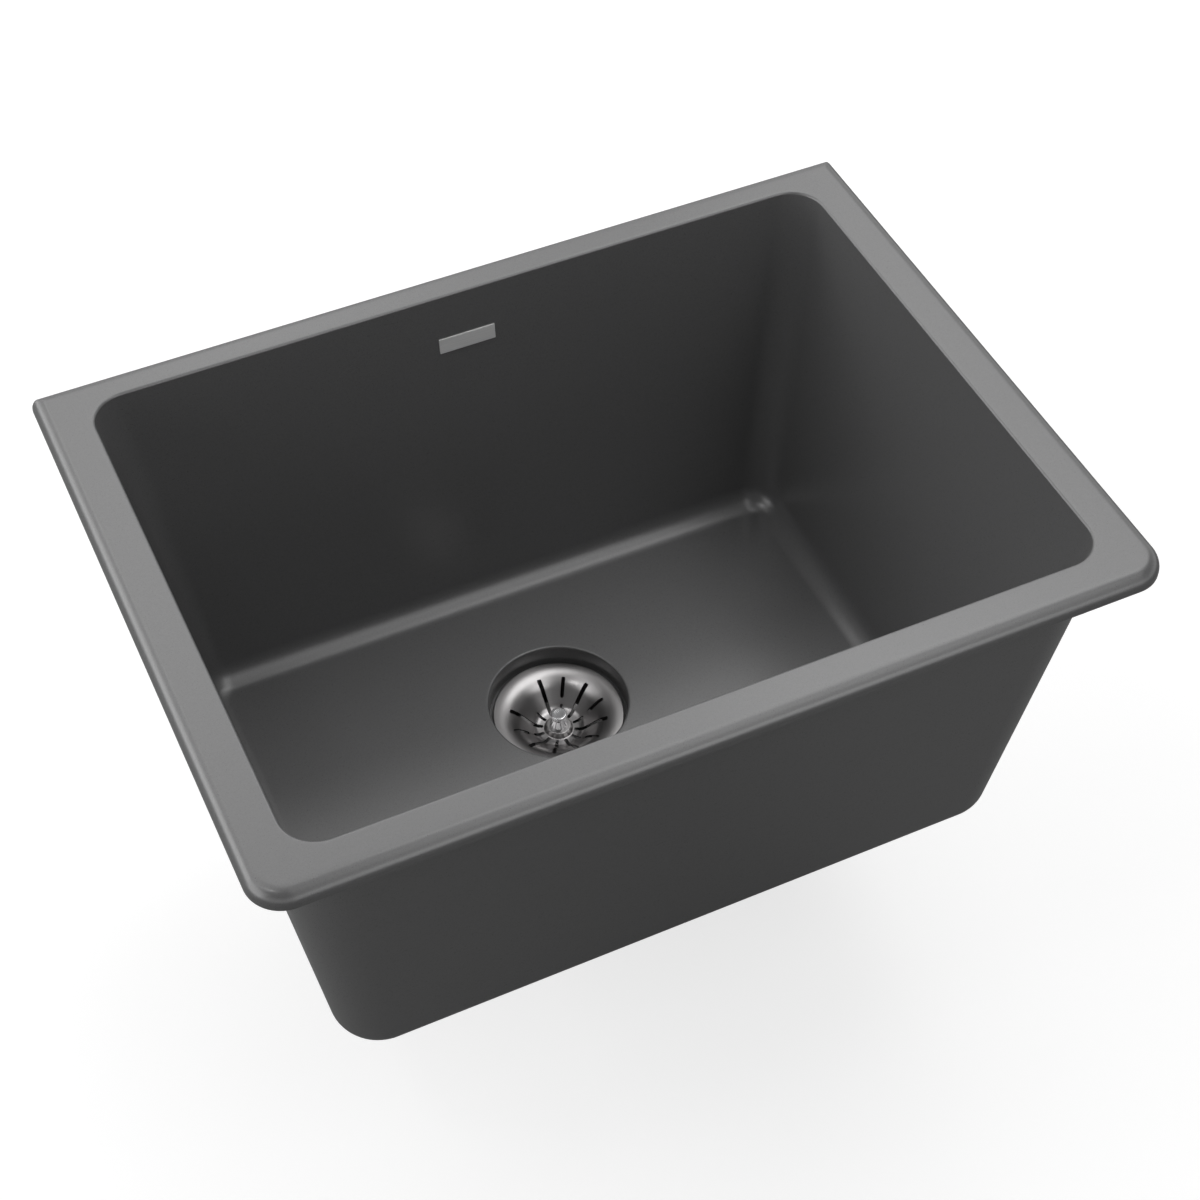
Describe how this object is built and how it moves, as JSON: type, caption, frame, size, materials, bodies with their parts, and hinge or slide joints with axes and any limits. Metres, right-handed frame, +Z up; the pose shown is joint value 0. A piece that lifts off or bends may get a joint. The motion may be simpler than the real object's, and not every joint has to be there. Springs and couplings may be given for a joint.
{
  "type": "kitchen sink",
  "caption": "Undermount kitchen sink moulded in grey quartz composite: a deep drafted bowl under a flat rim, with a slotted lift-out strainer basket, stopper and tailpiece.",
  "frame": {"origin": "centre of the rim's top face", "axes": "+X to the right along the long side, +Y to the back wall with the plate, +Z up out of the bowl"},
  "size_m": [0.635, 0.47, 0.4703],
  "materials": {
    "quartz": "honed quartz composite with a fine speckle",
    "brass": "plain turned brass",
    "plate_metal": "satin",
    "seal_rubber": "moulded black rubber",
    "stopper_rubber": "moulded soft rubber",
    "steel": "spun and brushed in circles",
    "fibre": "pressed fibre",
    "nut_metal": "die-cast metal, plated dull",
    "washer_plastic": "moulded white",
    "chrome": "bright plated tube",
    "knob_metal": "turned and plated"
  },
  "bodies": {
    "sink": {"sink_bowl": "quartz", "rim_inserts": "brass", "name_plate": "plate_metal", "flange_gasket": "seal_rubber", "strainer_body": "steel", "cross_bar": "brass", "under_gasket": "seal_rubber", "friction_washer": "fibre", "locknut": "nut_metal", "tailpiece_washer": "washer_plastic", "tailpiece": "chrome", "coupling_nut": "nut_metal"},
    "stopper": {"stopper_disc": "stopper_rubber", "stopper_plate": "steel"},
    "basket": {"basket_cup": "steel", "basket_knob": "knob_metal", "basket_post": "knob_metal", "post_nut": "knob_metal", "post_clip": "steel", "post_spring": "steel"}
  },
  "joints": [
    {"name": "basket_lift", "type": "slide", "parent": "sink", "child": "stopper", "axis": [0, 0, 1], "range_m": [0, 0.38]},
    {"name": "basket_turn", "type": "hinge", "parent": "stopper", "child": "basket", "pos_m": [0, 0.0462, -0.308], "axis": [0, 0, 1], "continuous": true}
  ]
}
